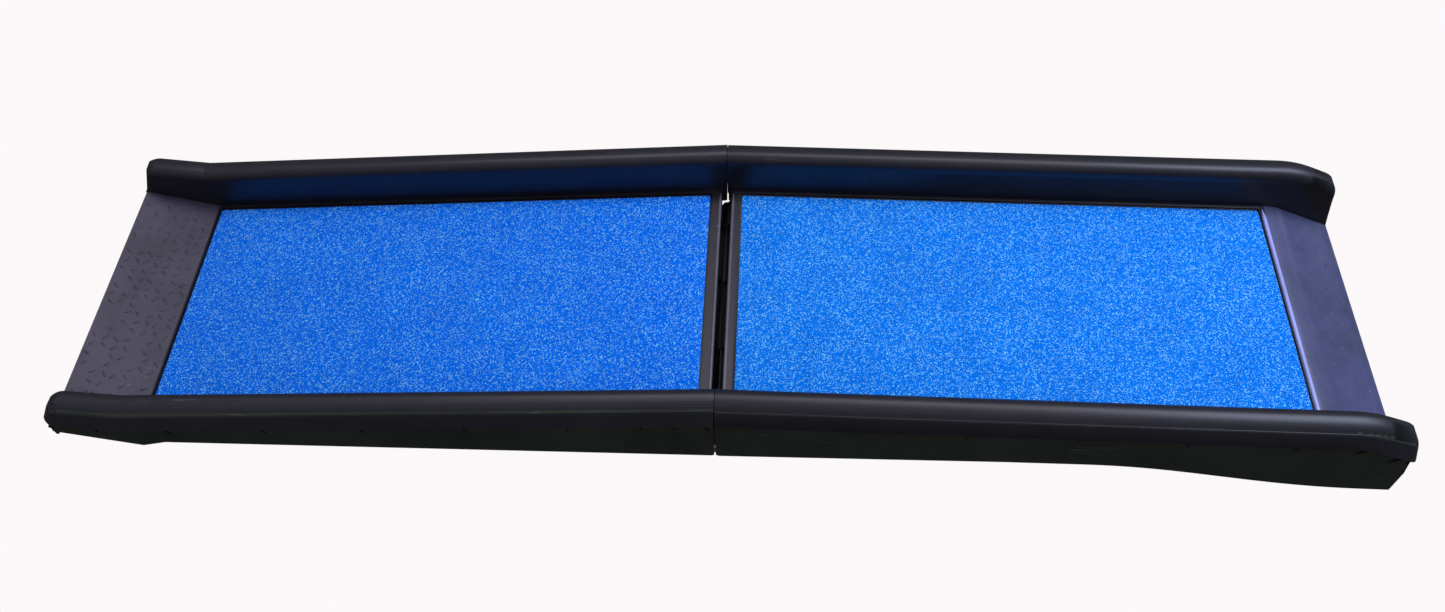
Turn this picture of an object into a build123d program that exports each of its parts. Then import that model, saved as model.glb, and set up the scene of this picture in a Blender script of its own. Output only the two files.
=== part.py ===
from build123d import *

# Two-part folding dog ramp: moulded half shells on a full-width hinge rod, with turf mats, feet and a latch.
#
# Each half is drawn in its own frame: X runs from the seam out to the half's end, Z is up, and Z = 0 is
# the top of its deck. The upper half is only lifted into place. The lower half is turned end for end and
# then tipped down about the hinge rod, until its heel stands on the same floor as the upper half's foot.

import os
from dataclasses import dataclass
from math import acos, asin, atan2, cos, degrees, hypot, pi, radians, sin, tan

# Overall sizes, in millimetres.
HALF_WIDTH = 200.0  # centre line to the outside of the rail skirt
DECK_HEIGHT = 85.0  # top of the upper deck above the floor
CROWN_DEG = 5.4  # how far the lower half tips down from the upper half when fully open

# Moulding.
WALL = 3.0
RIB = 2.4
DECK = 5.5  # deck plate before the tray is sunk into it
TRAY_DEPTH = 2.5
TRAY_GAP = 3.0  # bare tray at each end of the mat
RIM = 4.0  # raised edge left around the tray
RIB_SPACING = 74.0
LONG_RIB_COUNT = 5
RIB_SETBACK = 7.0  # ribs stop this far short of the side wall's lower edge

# Side rails.
TRAY_HALF_WIDTH = 160.0
RAIL_HEIGHT = 61.5
LIP_HEIGHT = 37.0  # lower edge of the skirt above the deck
ROLL_RADIUS = 13.0  # inner side of the roll
SKIRT_RADIUS = 22.0  # outer side of the roll
RAIL_DRAFT = 0.3  # the inner rail wall leans out this far over its height
SIDE_WALL_INSET = 10.0  # skirt's outside to the side wall's outside
GUSSET_DROP = 29.0  # gussets taper away this far below the skirt
GUSSET_WIDTH = 10.0  # at the skirt's lower edge
GUSSET_STATIONS = (38.0, 77.0, 161.0, 282.0, 402.0, 522.0, 640.0)

# Seam and hinge.
SEAM_GAP = 0.6  # between the rails' butting faces at their top
SEAM_DRAFT_DEG = 0.3
END_WALL_SETBACK = 12.5
HINGE_DEPTH = 58.0  # rod axis below the deck
ROD_RADIUS = 4.0
ROD_CLEARANCE = 0.06
KNUCKLE_RADIUS = 9.0
KNUCKLE_EDGES = (-178.0, -136.0, -50.0, 50.0, 136.0, 178.0)  # the knuckles change over here
KNUCKLE_GAP = 0.6
LUG_TOP = 22.0
LUG_FOOT = 50.0
WASHER_RADIUS = 8.0
WASHER_THICKNESS = 1.2
PUSH_NUT_RADIUS = 6.5
PUSH_NUT_THICKNESS = 2.5

# Mats.
MAT_MARGIN = 5.0  # tray floor left bare along each rail
MAT_THICKNESS = 4.0
TAPE_THICKNESS = 0.5
TAPE_WIDTH = 25.0
TAPE_INSET = 12.0
MAT_CORNER = 3.0

# Feet.
PAD_THICKNESS = 2.5
PAD_LENGTH = 26.0
PAD_WIDTH = 130.0
PAD_CENTRE = 92.0
HEEL_CLEAR = 9.0  # the toe's pads start this far past the heel, so the heel alone meets a level floor
FOOT_PLATE = 3.0
SCREW_RADIUS = 2.0
SCREW_HEAD_RADIUS = 4.0
SCREW_HEAD = 1.6
SCREW_LENGTH = 9.0
SCREW_SPACING = 90.0

# Latch on the far side.
LATCH_STATION = 600.0
LATCH_DEPTH = 30.0
STUD_DEPTH = 7.0
ARM_THICKNESS = 4.0
ARM_HALF_WIDTH = 8.0
ARM_GAP = 0.5
PIVOT_RADIUS = 3.0
STUD_RADIUS = 3.0
LATCH_HEAD_RADIUS = 6.0
LATCH_HEAD = 2.0
NOTCH_CLEARANCE = 0.5
BACKER_RADIUS = 9.0

# Sizes that follow from the ones above.
SIDE_WALL_OUT = HALF_WIDTH - SIDE_WALL_INSET
SIDE_WALL_IN = SIDE_WALL_OUT - WALL
ROLL_Y = TRAY_HALF_WIDTH + ROLL_RADIUS + RAIL_DRAFT
ROLL_Z = RAIL_HEIGHT - ROLL_RADIUS
SKIRT_Z = RAIL_HEIGHT - SKIRT_RADIUS
# Slope of the skirt away from upright, where it runs tangent into the roll.
SKIRT_ANGLE = acos(SKIRT_RADIUS / hypot(HALF_WIDTH - ROLL_Y, SKIRT_Z - LIP_HEIGHT)) - atan2(
    SKIRT_Z - LIP_HEIGHT, HALF_WIDTH - ROLL_Y
)
LIP_INSIDE = HALF_WIDTH - WALL / cos(SKIRT_ANGLE)
WALL_TOP = LIP_HEIGHT + SIDE_WALL_INSET / tan(SKIRT_ANGLE) - 0.4  # side walls end inside the skirt
MAT_HALF_WIDTH = TRAY_HALF_WIDTH - RIM - MAT_MARGIN
HINGE_HEIGHT = DECK_HEIGHT - HINGE_DEPTH
FOOT_DEPTH = DECK_HEIGHT - PAD_THICKNESS
CROWN = radians(CROWN_DEG)


@dataclass(frozen=True)
class Half:
    """What differs between the two halves, in the half's own frame."""

    name: str
    bend: float  # seam to the crease, along the deck
    tail: float  # crease to the end, along the deck
    deck_bend: float  # radians, downwards positive
    rail_bend: float
    bend_radius: float
    mat_start: float
    mat_end: float
    lip: float  # deck edge back from the seam
    lead: float  # drawn this far past the seam before the seam face is cut
    end_lean: float  # radians that the rail's end face leans back from upright
    end_round: float  # rounding of the rail's top corner at the end
    end_gussets: tuple  # stations past the crease

    def place(self, s, w, bend=None):
        """The point s along the deck and w above it, as (x, z)."""
        a = self.deck_bend if bend is None else bend
        r = self.bend_radius
        start = self.bend - r * tan(abs(a) / 2)
        if s <= start:
            return s, w
        if r and s < start + r * a:
            t = (s - start) / r
            return start + (r + w) * sin(t), (r + w) * cos(t) - r
        along = s - start - r * a
        x0 = start + r * sin(a)
        z0 = r * (cos(a) - 1)
        return x0 + along * cos(a) + w * sin(a), z0 - along * sin(a) + w * cos(a)

    @property
    def arc_start(self):
        return self.bend - self.bend_radius * tan(abs(self.deck_bend) / 2)

    @property
    def arc_end(self):
        return self.arc_start + self.bend_radius * self.deck_bend

    @property
    def end(self):
        return self.bend + self.tail


UPPER = Half(
    name="upper",
    bend=698.0,
    tail=89.0,
    deck_bend=radians(23.6),
    rail_bend=radians(23.6),
    bend_radius=60.0,
    mat_start=20.0,
    mat_end=676.0,
    lip=6.5,
    lead=0.0,
    end_lean=radians(11),
    end_round=26.0,
    end_gussets=(702.0, 750.0),
)
LOWER = Half(
    name="lower",
    bend=690.0,
    tail=93.0,
    deck_bend=radians(-22.0),
    rail_bend=radians(-11.0),
    bend_radius=0.0,
    mat_start=16.0,
    mat_end=683.0,
    lip=0.5,
    lead=13.0,
    end_lean=radians(26),
    end_round=13.0,
    end_gussets=(730.0,),
)

# The heel is as deep as it has to be for the tipped half to stand on the floor.
HEEL_X = LOWER.bend
HEEL_DEPTH = HINGE_DEPTH - (HEEL_X * sin(CROWN) - HINGE_HEIGHT) / cos(CROWN)
TOE_THICKNESS = 17.0
WEDGE_DEPTH = HEEL_DEPTH - 8.0  # lower side wall beside the heel
SEAM_WALL_DEPTH = HINGE_DEPTH - 1.5  # side walls at the seam
ARCH_DEPTH = 44.0  # shallowest point of the upper side wall
ARCH_SHARE = 0.62  # where it lies between the seam and the bend
CLAW = 6.0  # upper foot reaches this far past the deck's end


def flat_face(points, plane):
    """A face from corner points on a plane."""
    return plane * make_face(Polyline(*points, close=True))


def side_slab(face, low, high):
    """A side-view face given thickness from Y = low to Y = high."""
    return Pos(0, low, 0) * extrude(face, amount=high - low, dir=(0, 1, 0))


def roll_tangent():
    """Angle about the roll's centre at which the inner rail wall runs into it."""
    dy, dz = ROLL_Y - TRAY_HALF_WIDTH, ROLL_Z
    run = atan2(dz, dy) + asin(ROLL_RADIUS / hypot(dy, dz))
    return run + pi / 2, run


def rail_outline(inset):
    """Roll and skirt seen along the ramp; inset 0 is the outside, WALL the hollow under it."""
    start, run = roll_tangent()

    def inner(angle):
        return ROLL_Y + (ROLL_RADIUS - inset) * cos(angle), ROLL_Z + (ROLL_RADIUS - inset) * sin(angle)

    def outer(angle):
        return ROLL_Y + (SKIRT_RADIUS - inset) * cos(angle), SKIRT_Z + (SKIRT_RADIUS - inset) * sin(angle)

    top = pi / 2
    arcs = ThreePointArc(inner(start), inner((start + top) / 2), inner(top))
    arcs += ThreePointArc(outer(top), outer((top + SKIRT_ANGLE) / 2), outer(SKIRT_ANGLE))
    return arcs, inner(start), outer(SKIRT_ANGLE), run


def rail_face(plane):
    """The rail with its hollow filled in, and the slope of a gusset under it."""
    arcs, inner, outer, _ = rail_outline(0)
    lines = Line(inner, (TRAY_HALF_WIDTH, 0)) + arcs
    lines += Polyline(
        (TRAY_HALF_WIDTH, 0),
        (TRAY_HALF_WIDTH, -DECK),
        (SIDE_WALL_OUT, -DECK),
        (SIDE_WALL_OUT, LIP_HEIGHT - GUSSET_DROP),
        (LIP_INSIDE, LIP_HEIGHT),
        (HALF_WIDTH, LIP_HEIGHT),
        outer,
    )
    return plane * make_face(lines)


def hollow_face(plane):
    """The hollow under the roll, open downwards."""
    arcs, inner, outer, run = rail_outline(WALL)
    below = -4 * DECK
    foot = (inner[0] - (inner[1] - below) / tan(run), below)
    lines = arcs + Polyline(outer, (outer[0] + (outer[1] - below) * tan(SKIRT_ANGLE), below), foot, inner)
    return plane * make_face(lines)


def deck_face(plane, half_width):
    return plane * (Pos(0, -DECK / 2) * Rectangle(2 * half_width, DECK))


def section_plane(half, s, bend=None):
    """The plane across the ramp at s: its x is the ramp's Y and its y is up from the deck."""
    x, z = half.place(s, 0, bend)
    a = half.deck_bend if bend is None else bend
    turn = 0 if s <= half.arc_start else a
    return Plane(origin=(x, 0, z), x_dir=(0, 1, 0), z_dir=(cos(turn), 0, -sin(turn)))


def run_along(half, face_at, start, stop, bend):
    """Carries a cross-section from start, round the bend, to stop."""
    ahead = half.arc_start - start
    if half.bend_radius:
        first = section_plane(half, half.arc_start)
        axis = Axis((half.arc_start, 0, -half.bend_radius), (0, 1, 0))
        last = section_plane(half, half.arc_end + 0.001, bend)
        body = extrude(face_at(first), amount=-ahead)
        body += revolve(face_at(first), axis=axis, revolution_arc=degrees(bend))
        return body + extrude(face_at(last), amount=stop - half.arc_end)
    # A crease: two straight runs meet on the plane that halves the bend.
    over = RAIL_HEIGHT
    mitre = Plane(origin=(half.bend, 0, 0), z_dir=(cos(bend / 2), 0, -sin(bend / 2)))
    near = extrude(face_at(section_plane(half, start)), amount=ahead + over)
    far_plane = section_plane(half, half.bend + 0.001, bend).offset(-over)
    far = extrude(face_at(far_plane), amount=over + stop - half.bend)
    return split(near, mitre, keep=Keep.BOTTOM) + split(far, mitre, keep=Keep.TOP)


def both_sides(solid):
    return solid + mirror(solid, Plane.XZ)


def keel(half, lift=0.0):
    """The lower edge of a side wall from the seam to the end, as joined curves, and its two ends."""
    if half is UPPER:
        foot_x = half.place(half.end, 0)[0] + CLAW
        flat = foot_x - PAD_LENGTH - 2 * WALL
        arch_x = ARCH_SHARE * half.bend
        points = [(0, lift - SEAM_WALL_DEPTH), (arch_x, lift - ARCH_DEPTH), (flat, lift - FOOT_DEPTH)]
        curve = Spline(*points, tangents=[(1, 0.02), (1, 0), (1, 0)])
        return curve + Line(points[-1], (foot_x, points[-1][1])), points[0], (foot_x, points[-1][1])
    toe = half.place(half.end, lift - TOE_THICKNESS)
    start = (-half.lead, lift - SEAM_WALL_DEPTH)
    points = [start, (HEEL_X - 32, lift - WEDGE_DEPTH), (HEEL_X, lift - HEEL_DEPTH), toe]
    return Polyline(*points), points[0], toe


def side_view(half, top, lift=0.0):
    """Side outline between the keel and a line `top` above the deck."""
    edge, first, last = keel(half, lift)
    a = half.rail_bend if top > 0 else half.deck_bend
    corner = half.place(half.end, top, a)
    if half.bend_radius:
        mid = (half.arc_start + half.arc_end) / 2
        turn_in, turn_mid, turn_out = (half.place(s, top) for s in (half.arc_start, mid, half.arc_end))
        upper = Line((0, top), turn_in) + ThreePointArc(turn_in, turn_mid, turn_out) + Line(turn_out, corner)
    else:
        lean = top * tan(a / 2)
        upper = Polyline((-half.lead, top), (half.bend + lean, top), corner)
    if top > 0:
        under = half.place(half.end, 0)
        closing = Polyline(corner, under, last)
    else:
        closing = Line(corner, last)
    return Plane.XZ * make_face(edge + upper + closing + Line((-half.lead, top), first))


def ribs(half):
    """The grid of ribs under the deck, closed by a wall at the seam and one at the end."""
    depth = 2 * DECK_HEIGHT
    first = END_WALL_SETBACK
    count = int((half.bend - first) // RIB_SPACING)
    spacing = (half.bend - first - WALL) / count
    plates = [Pos(first + WALL / 2, 0, 0) * Box(WALL, 2 * SIDE_WALL_IN, depth)]
    cross = Box(RIB, 2 * SIDE_WALL_IN, depth)
    plates += [Pos(first + spacing * i, 0, 0) * cross for i in range(1, count + 1)]
    pitch = 2 * TRAY_HALF_WIDTH / (LONG_RIB_COUNT - 1)
    reach = half.end + CLAW
    plates += [
        Pos(first + reach / 2, -TRAY_HALF_WIDTH + pitch * i, 0) * Box(reach, RIB, depth)
        for i in range(LONG_RIB_COUNT)
    ]
    grid = Part() + plates
    inside = side_slab(side_view(half, -DECK / 2, RIB_SETBACK), -SIDE_WALL_IN - 0.5, SIDE_WALL_IN + 0.5)
    return grid & inside


def end_wall(half):
    """The wall across the half's end, from the deck's edge down to the keel."""
    _, _, low = keel(half)
    high = half.place(half.end, -DECK / 2)
    points = [high, low, (low[0] - WALL, low[1]), (high[0] - WALL, high[1])]
    return side_slab(flat_face(points, Plane.XZ), -SIDE_WALL_OUT, SIDE_WALL_OUT)


def foot_plate(half):
    """The plate that the rubber pads are screwed to, and the frame of its underside."""
    if half is UPPER:
        _, _, low = keel(half)
        under = Plane(origin=(low[0] - WALL - PAD_LENGTH / 2, 0, low[1]), x_dir=(1, 0, 0), z_dir=(0, 0, -1))
    else:
        toe = keel(half)[2]
        slope = atan2(toe[1] + HEEL_DEPTH, toe[0] - HEEL_X)
        mid = HEEL_CLEAR + PAD_LENGTH / 2
        spot = (HEEL_X + mid * cos(slope), 0, mid * sin(slope) - HEEL_DEPTH)
        under = Plane(origin=spot, x_dir=(cos(slope), 0, sin(slope)), z_dir=(sin(slope), 0, -cos(slope)))
    plate = extrude(under * Rectangle(PAD_LENGTH + 2 * WALL - 1, 2 * SIDE_WALL_IN + 1), amount=-FOOT_PLATE)
    return plate, under


def pad_spots():
    return [(0, side * PAD_CENTRE) for side in (-1, 1)]


def screw_spots():
    return [(0, y + step * SCREW_SPACING / 2) for _, y in pad_spots() for step in (-1, 1)]


def foot_pad(half, side):
    """One grooved rubber pad under the foot, with round openings that the screw heads sit in."""
    under = foot_plate(half)[1]
    blank = extrude(RectangleRounded(PAD_LENGTH, PAD_WIDTH, 3.0), amount=PAD_THICKNESS)
    pad = Pos(0, -side * PAD_CENTRE, 0) * blank
    groove = Pos(0, 0, PAD_THICKNESS) * Box(1.6, 2 * HALF_WIDTH, 1.2)
    pad -= Part() + [Pos(x, 0, 0) * groove for x in (-9.0, -3.0, 3.0, 9.0)]
    opening = Pos(0, 0, PAD_THICKNESS / 2) * Cylinder(SCREW_HEAD_RADIUS + 0.4, PAD_THICKNESS)
    return under * (pad - (Part() + [Pos(*spot, 0) * opening for spot in screw_spots()]))


def foot_screws(half):
    """Cross-head screws that hold the pads, with their heads below the pads' surface."""
    under = foot_plate(half)[1]
    head = Pos(0, 0, SCREW_HEAD / 2) * Cylinder(SCREW_HEAD_RADIUS, SCREW_HEAD)
    head -= Pos(0, 0, SCREW_HEAD) * Box(1.0, 5.0, 1.4) + Pos(0, 0, SCREW_HEAD) * Box(5.0, 1.0, 1.4)
    shank = Pos(0, 0, -SCREW_LENGTH / 2) * Cylinder(SCREW_RADIUS, SCREW_LENGTH)
    return under * (Part() + [Pos(*spot, 0) * (head + shank) for spot in screw_spots()])


def screw_holes(half):
    under = foot_plate(half)[1]
    drill = Pos(0, 0, -FOOT_PLATE) * Cylinder(SCREW_RADIUS, 4 * FOOT_PLATE)
    return under * (Part() + [Pos(*spot, 0) * drill for spot in screw_spots()])


def knuckles(half):
    """Hinge knuckles: three on the upper half, with the lower half's two between them."""
    centre = (0, -HINGE_DEPTH)
    barrel = Plane.XZ * (Pos(*centre) * Circle(KNUCKLE_RADIUS))
    lug = flat_face(
        [
            (0, KNUCKLE_RADIUS - HINGE_DEPTH),
            (END_WALL_SETBACK + 0.5, -LUG_TOP),
            (END_WALL_SETBACK + 0.5, -LUG_FOOT),
            (0, -KNUCKLE_RADIUS - HINGE_DEPTH),
        ],
        Plane.XZ,
    )
    profile = barrel + lug
    first = 0 if half is UPPER else 1
    edges = KNUCKLE_EDGES
    spans = [(edges[i], edges[i + 1]) for i in range(first, len(edges) - 1, 2)]
    gap = KNUCKLE_GAP / 2
    return Part() + [side_slab(profile, low + gap, high - gap) for low, high in spans]


def rod_bore():
    return Pos(0, 0, -HINGE_DEPTH) * Rot(90, 0, 0) * Cylinder(ROD_RADIUS + ROD_CLEARANCE, 2 * HALF_WIDTH)


def gusset_wedge(plane):
    """The tapering block under the skirt at a gusset."""
    low, high = LIP_HEIGHT - GUSSET_DROP, LIP_HEIGHT + 1
    rear = SIDE_WALL_OUT - 1
    section = make_face(Polyline((rear, low), (rear, high), (LIP_INSIDE, high), close=True))
    block = extrude(section, amount=GUSSET_WIDTH / 2, both=True)
    front = Plane(origin=(0, 0, 0), x_dir=(0, 0, -1), z_dir=(1, 0, 0))
    half_width = GUSSET_WIDTH / 2
    taper = front * make_face(Polyline((-half_width, high), (half_width, high), (0, low), close=True))
    return plane * (block & extrude(taper, amount=HALF_WIDTH))


def gussets(half):
    """Thin plates across the hollow of each rail, each with a wedge under the skirt."""
    plates = []
    for s in GUSSET_STATIONS + half.end_gussets:
        plane = section_plane(half, s, half.rail_bend)
        plates.append(extrude(rail_face(plane), amount=RIB / 2, both=True))
        plates.append(gusset_wedge(plane))
    return both_sides(Part() + plates)


def end_trim(half, inset):
    """Everything above the deck that is past the rail's leaning, rounded end, seen from the side."""
    radius = half.end_round - inset
    lean, a = half.end_lean, half.rail_bend
    foot = Vector(*half.place(half.end, 0)) - Vector(cos(lean), sin(lean)) * inset
    up, back = Vector(-sin(lean), cos(lean)), Vector(-cos(a), sin(a))
    level = Vector(*half.place(half.end, RAIL_HEIGHT - inset, a))
    # Where the end face meets the line along the rail's top.
    gap = level - foot
    corner = foot + up * ((gap.X * back.Y - gap.Y * back.X) / (up.X * back.Y - up.Y * back.X))
    half_angle = radians((up * -1).get_angle(back)) / 2
    run = radius / tan(half_angle)
    inward = (back - up).normalized()
    start, stop = corner - up * run, corner + back * run
    mid = corner + inward * (radius / sin(half_angle) - radius)
    above = stop + Vector(sin(a), cos(a)) * RAIL_HEIGHT
    out = Vector(foot.X + 2 * RAIL_HEIGHT, foot.Y)
    lines = Line(foot, start) + ThreePointArc(start, mid, stop)
    lines += Polyline(stop, above, Vector(out.X, above.Y), out, foot)
    return side_slab(Plane.XZ * make_face(lines), -HALF_WIDTH - 1, HALF_WIDTH + 1)


def rails(half):
    """Both side rails as closed-ended hollow rolls."""
    filled = run_along(half, rail_face, -half.lead, half.end, half.rail_bend)
    hollow = run_along(half, hollow_face, WALL, half.end - WALL, half.rail_bend) - end_trim(half, WALL)
    return both_sides(filled - hollow)


def deck(half):
    """Deck plate with the tray for the mat sunk into it."""
    def plate(plane):
        return deck_face(plane, TRAY_HALF_WIDTH + WALL)

    flat = run_along(half, plate, half.lip, half.end, half.deck_bend)
    if half is LOWER:
        plane = section_plane(half, half.bend + 0.001)
        flat += extrude(deck_face(plane, SIDE_WALL_IN), amount=half.tail)
    start = half.mat_start - TRAY_GAP
    length = half.mat_end + TRAY_GAP - start
    tray = Box(length, 2 * (TRAY_HALF_WIDTH - RIM), 2 * TRAY_DEPTH)
    tray = fillet(tray.edges().filter_by(Axis.Z), MAT_CORNER)
    return flat - Pos(start + length / 2, 0, 0) * tray


def seam_cut(half):
    """Everything past the half's butting face, which leans back a little below the rail's top."""
    lean = tan(radians(SEAM_DRAFT_DEG)) * (RAIL_HEIGHT + FOOT_DEPTH)
    top = (SEAM_GAP / 2, RAIL_HEIGHT + 20)
    bottom = (SEAM_GAP / 2 + lean, -FOOT_DEPTH)
    far = -3 * DECK_HEIGHT
    return side_slab(flat_face([top, bottom, (far, bottom[1]), (far, top[1])], Plane.XZ), -250, 250)


def shell_blank(half):
    """The moulded half before its seam face is cut."""
    wall = side_slab(side_view(half, WALL_TOP), SIDE_WALL_IN, SIDE_WALL_OUT)
    body = rails(half) + both_sides(wall) + gussets(half) - end_trim(half, 0)
    body += deck(half) + ribs(half) + end_wall(half) + foot_plate(half)[0]
    return body - screw_holes(half)


def mat(half):
    length = half.mat_end - half.mat_start
    sheet = RectangleRounded(length, 2 * MAT_HALF_WIDTH, MAT_CORNER)
    base = TAPE_THICKNESS - TRAY_DEPTH
    return Pos(half.mat_start + length / 2, 0, base) * extrude(sheet, amount=MAT_THICKNESS)


def mat_tape(half):
    """Double-sided tape strips between the tray and the mat."""
    length = half.mat_end - half.mat_start - 2 * TAPE_INSET
    reach = MAT_HALF_WIDTH - TAPE_INSET - TAPE_WIDTH / 2
    centre = (half.mat_start + half.mat_end) / 2
    strips = [
        Pos(centre, y, TAPE_THICKNESS / 2 - TRAY_DEPTH) * Box(length, TAPE_WIDTH, TAPE_THICKNESS)
        for y in (-reach, 0, reach)
    ]
    return Part() + strips


def along_y(x, z, start, stop, radius):
    """A round bar across the ramp from Y = start to Y = stop."""
    return Pos(x, (start + stop) / 2, z) * Rot(90, 0, 0) * Cylinder(radius, stop - start)


def latch_parts():
    """Swinging hook on the upper half's far side and the stud that it drops over on the lower half."""
    arm_in = SIDE_WALL_OUT + ARM_GAP
    arm_out = arm_in + ARM_THICKNESS
    reach = 2 * HINGE_DEPTH - STUD_DEPTH - LATCH_DEPTH
    x, z = LATCH_STATION, -LATCH_DEPTH
    slot = STUD_RADIUS + NOTCH_CLEARANCE
    arm = Plane.XZ * (
        Pos(x, z) * Circle(ARM_HALF_WIDTH)
        + Pos(x - reach / 2, z) * Rectangle(reach, 1.5 * ARM_HALF_WIDTH)
        + Pos(x - reach, z) * Circle(ARM_HALF_WIDTH)
        - Pos(x - reach, z) * Circle(slot)
        - Pos(x - reach, z - ARM_HALF_WIDTH) * Rectangle(2 * slot, 2 * ARM_HALF_WIDTH)
        - Pos(x, z) * Circle(PIVOT_RADIUS + ROD_CLEARANCE)
    )
    hook = side_slab(arm, arm_in, arm_out)
    tab = Plane.XZ * (Pos(x - 0.55 * reach, z + 0.75 * ARM_HALF_WIDTH) * Rectangle(18.0, 6.0))
    hook += side_slab(tab, arm_in, arm_out + 2.0)
    through = SIDE_WALL_IN - 5.0
    head_at = arm_out + ARM_GAP
    pivot = along_y(x, z, through, head_at, PIVOT_RADIUS)
    pivot += along_y(x, z, head_at, head_at + LATCH_HEAD, LATCH_HEAD_RADIUS)
    stud = along_y(x, -STUD_DEPTH, through, head_at, STUD_RADIUS)
    stud += along_y(x, -STUD_DEPTH, head_at, head_at + LATCH_HEAD, LATCH_HEAD_RADIUS)
    return hook, pivot, stud


def latch_nut(depth):
    """Flanged nut on the inside of the side wall."""
    inside = SIDE_WALL_IN - 4.0
    nut = along_y(LATCH_STATION, -depth, inside, SIDE_WALL_IN, LATCH_HEAD_RADIUS)
    return nut - along_y(LATCH_STATION, -depth, inside - 1, SIDE_WALL_IN + 1, PIVOT_RADIUS)


def rod_parts():
    """Hinge rod, its washers and the push nuts on its two ends."""
    face = KNUCKLE_EDGES[-1] - KNUCKLE_GAP / 2
    nut_at = face + WASHER_THICKNESS + KNUCKLE_GAP / 2
    end = nut_at + PUSH_NUT_THICKNESS + 1.0
    z = -HINGE_DEPTH
    rod = chamfer(along_y(0, z, -end, end, ROD_RADIUS).edges(), 0.6)
    washer = along_y(0, z, face + 0.1, face + 0.1 + WASHER_THICKNESS, WASHER_RADIUS)
    washer -= along_y(0, z, 0, 2 * end, ROD_RADIUS + ROD_CLEARANCE)
    nut = along_y(0, z, nut_at, nut_at + PUSH_NUT_THICKNESS, PUSH_NUT_RADIUS)
    nut -= along_y(0, z, 0, 2 * end, ROD_RADIUS)
    return rod, both_sides(washer), both_sides(nut)


def centring():
    """How far the seam is moved along X so that the ramp's middle is at X = 0."""
    right = keel(UPPER)[2][0]
    toe_x, toe_z = keel(LOWER)[2]
    left = -toe_x * cos(CROWN) - (toe_z + HINGE_DEPTH) * sin(CROWN)
    return -(left + right) / 2


def main():
    os.makedirs("parts", exist_ok=True)
    shift = centring()
    raised = Pos(shift, 0, DECK_HEIGHT)
    tipped = Pos(shift, 0, HINGE_HEIGHT) * Rot(0, -CROWN_DEG, 0) * Pos(0, 0, HINGE_DEPTH)
    rod, washers, push_nuts = rod_parts()
    hook, pivot, stud = latch_parts()
    wall_hole = {
        "upper": along_y(LATCH_STATION, -LATCH_DEPTH, SIDE_WALL_IN - 1, SIDE_WALL_OUT + 1, PIVOT_RADIUS),
        "lower": along_y(LATCH_STATION, -STUD_DEPTH, SIDE_WALL_IN - 1, SIDE_WALL_OUT + 1, STUD_RADIUS),
    }
    parts = {}
    for half, at in ((UPPER, raised), (LOWER, tipped)):
        body = shell_blank(half) - wall_hole[half.name]
        pieces = {
            "shell": body,
            "mat": mat(half),
            "mat_tape": mat_tape(half),
            "foot_pad_near": foot_pad(half, -1),
            "foot_pad_far": foot_pad(half, 1),
            "foot_screws": foot_screws(half),
            "latch_nut": latch_nut(LATCH_DEPTH if half is UPPER else STUD_DEPTH),
        }
        if half is LOWER:
            pieces["latch_stud"] = stud
            pieces = {name: mirror(piece, Plane.YZ) for name, piece in pieces.items()}
        else:
            pieces["latch_pivot"] = pivot
        placed = {name: at * piece for name, piece in pieces.items()}
        cut = seam_cut(half) if half is UPPER else mirror(seam_cut(half), Plane.YZ)
        shell = placed["shell"] - raised * cut
        joints = knuckles(half) if half is UPPER else mirror(knuckles(half), Plane.YZ)
        placed["shell"] = shell + at * joints - raised * rod_bore()
        for name, piece in placed.items():
            parts[name if name in ("latch_stud", "latch_pivot") else f"{half.name}_{name}"] = piece
    parts["hinge_rod"] = raised * rod
    parts["rod_washers"] = raised * washers
    parts["rod_push_nuts"] = raised * push_nuts
    parts["latch_hook"] = raised * hook
    for name, piece in parts.items():
        export_step(piece, f"parts/{name}.step")


main()
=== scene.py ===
"""Studio scene of a folding dog ramp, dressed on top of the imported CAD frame."""

import logging
import math
import random
from dataclasses import dataclass, field
from enum import Enum
from typing import Iterable, Optional

import bmesh
import bpy
from mathutils import Matrix, Vector


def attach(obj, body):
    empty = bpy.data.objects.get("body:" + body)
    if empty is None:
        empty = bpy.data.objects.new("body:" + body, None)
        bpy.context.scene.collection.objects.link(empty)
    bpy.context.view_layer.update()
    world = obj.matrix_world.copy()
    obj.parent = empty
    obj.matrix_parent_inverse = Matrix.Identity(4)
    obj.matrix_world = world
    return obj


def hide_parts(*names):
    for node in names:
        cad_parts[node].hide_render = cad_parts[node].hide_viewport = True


LOG = logging.getLogger("dog_ramp")
MM = 0.001


class Side(Enum):
    """Which half of the ramp a thing belongs to."""

    LOWER = "lower"
    UPPER = "upper"


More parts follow.
